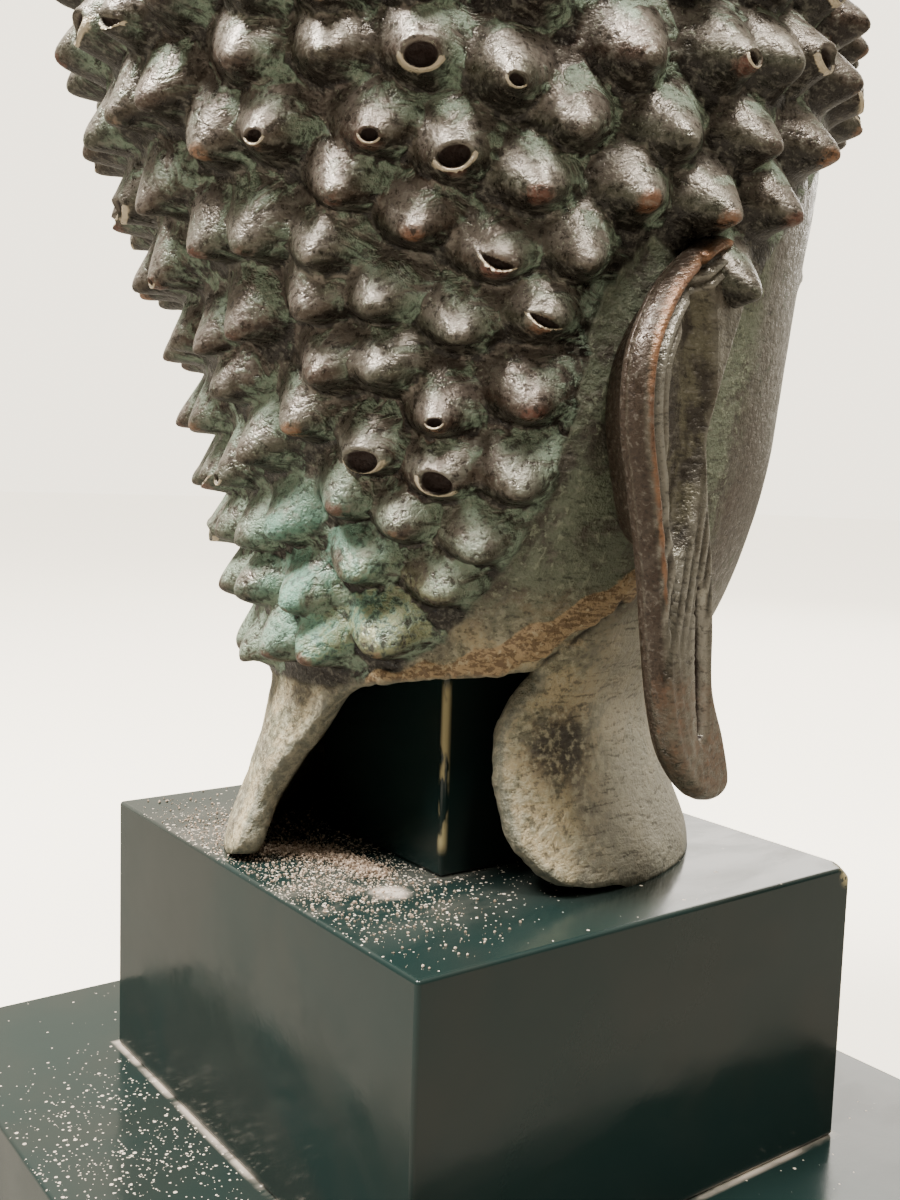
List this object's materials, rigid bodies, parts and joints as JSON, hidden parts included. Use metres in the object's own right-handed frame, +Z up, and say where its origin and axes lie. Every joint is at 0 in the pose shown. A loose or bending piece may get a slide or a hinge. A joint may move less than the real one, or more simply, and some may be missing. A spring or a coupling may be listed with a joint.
{
  "type": "bronze buddha head on a stand",
  "caption": "Hollow cast head with pointed hair curls, long ears and a broken neck, resting by its rim on a square painted block with a post and a wider slab.",
  "frame": {"origin": "middle of the slab's underside", "axes": "+Z up, the face looks towards -Y and the head's right side is -X"},
  "size_m": [0.236, 0.2224, 0.414],
  "materials": {
    "bronze": "dark brown satin bronze patina with green verdigris in the valleys and copper-brown worn tips",
    "stand_paint": "gloss green-black paint on wood, with dust and worn edges"
  },
  "bodies": {
    "root": {"buddha_head": "bronze", "post": "stand_paint", "plinth_block": "stand_paint", "plinth_slab": "stand_paint"}
  },
  "joints": []
}
